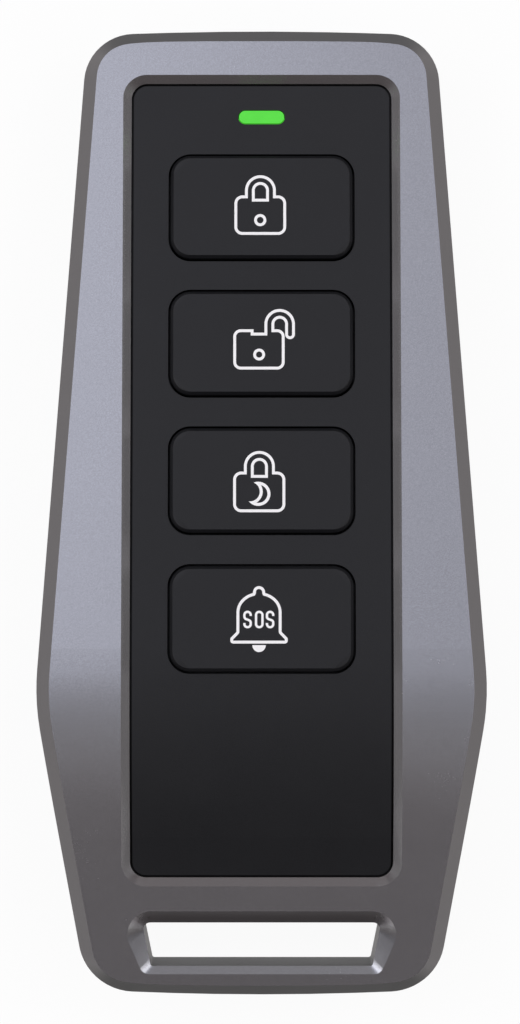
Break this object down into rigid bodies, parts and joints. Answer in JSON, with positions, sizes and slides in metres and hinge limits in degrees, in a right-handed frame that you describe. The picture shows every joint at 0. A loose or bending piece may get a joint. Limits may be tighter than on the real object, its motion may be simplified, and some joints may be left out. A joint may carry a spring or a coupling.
{
  "type": "wireless alarm remote control",
  "caption": "Slim hand-held alarm remote with a tapered metallic frame, recessed black keys with line symbols, a small lamp and a strap slot through its broad end.",
  "frame": {"origin": "under the middle of the outline, on the flat of the back", "axes": "+Z out of the keys, +Y towards the lamp end, +X to the right of a person reading the keys"},
  "size_m": [0.036, 0.0782, 0.0126],
  "materials": {
    "frame_metal": "gunmetal metallic lacquer with a fine grain, satin",
    "panel_black": "fine matt moulded black plastic",
    "key_black": "fine matt moulded black plastic with white printed symbols",
    "cover_black": "spark-eroded matt black plastic",
    "lens_green": "translucent lamp lens, lit green",
    "mat_silicone": "grey silicone rubber",
    "led_body": "pale lamp package",
    "board_green": "green solder mask",
    "switch_black": "black moulded plastic",
    "switch_steel": "stamped stainless plate",
    "stem_brown": "brown moulded plastic",
    "spring_steel": "bright spring steel",
    "tinned_metal": "tinned metal",
    "screw_steel": "zinc plated steel",
    "screw_black": "blackened steel",
    "cell_steel": "nickel plated steel",
    "contact_gold": "gilded contact pad",
    "chip_black": "black moulded package",
    "resonator_lid": "gilded metal lid",
    "ceramic_tan": "tan ceramic",
    "resistor_black": "black glazed ceramic",
    "copper": "copper track under clear mask"
  },
  "bodies": {
    "housing": {"front_frame": "frame_metal", "front_panel": "panel_black", "keypad_mat": "mat_silicone", "light_guide": "lens_green", "status_led": "led_body", "switch_terminals": "tinned_metal", "circuit_board": "board_green", "board_screws": "screw_steel", "coin_cell": "cell_steel", "minus_contact": "contact_gold", "battery_clip": "spring_steel", "coding_chip": "chip_black", "coding_chip_leads": "tinned_metal", "saw_resonator": "resonator_lid", "radio_transistor": "chip_black", "chip_capacitors": "ceramic_tan", "chip_resistors": "resistor_black", "antenna_trace": "copper", "rear_cover": "cover_black", "cover_screws": "screw_black", "switch_base_sos": "switch_black", "switch_cover_sos": "switch_steel", "switch_spring_sos": "spring_steel", "switch_base_night": "switch_black", "switch_cover_night": "switch_steel", "switch_spring_night": "spring_steel", "switch_base_unlock": "switch_black", "switch_cover_unlock": "switch_steel", "switch_spring_unlock": "spring_steel", "switch_base_lock": "switch_black", "switch_cover_lock": "switch_steel", "switch_spring_lock": "spring_steel"},
    "sos_key": {"keycap_sos": "key_black", "switch_stem_sos": "stem_brown"},
    "night_key": {"keycap_night": "key_black", "switch_stem_night": "stem_brown"},
    "unlock_key": {"keycap_unlock": "key_black", "switch_stem_unlock": "stem_brown"},
    "lock_key": {"keycap_lock": "key_black", "switch_stem_lock": "stem_brown"}
  },
  "joints": [
    {"name": "sos_key_press", "type": "slide", "parent": "housing", "child": "sos_key", "axis": [0, -0.0871, -0.9962], "range_m": [0, 0.0003], "stiffness_N_per_m": 3000, "deforming": ["keypad_mat", "switch_spring_sos"]},
    {"name": "night_key_press", "type": "slide", "parent": "housing", "child": "night_key", "axis": [0, -0.0871, -0.9962], "range_m": [0, 0.0003], "stiffness_N_per_m": 3000, "deforming": ["keypad_mat", "switch_spring_night"]},
    {"name": "unlock_key_press", "type": "slide", "parent": "housing", "child": "unlock_key", "axis": [0, -0.0871, -0.9962], "range_m": [0, 0.0003], "stiffness_N_per_m": 3000, "deforming": ["keypad_mat", "switch_spring_unlock"]},
    {"name": "lock_key_press", "type": "slide", "parent": "housing", "child": "lock_key", "axis": [0, -0.0871, -0.9962], "range_m": [0, 0.0003], "stiffness_N_per_m": 3000, "deforming": ["keypad_mat", "switch_spring_lock"]}
  ]
}
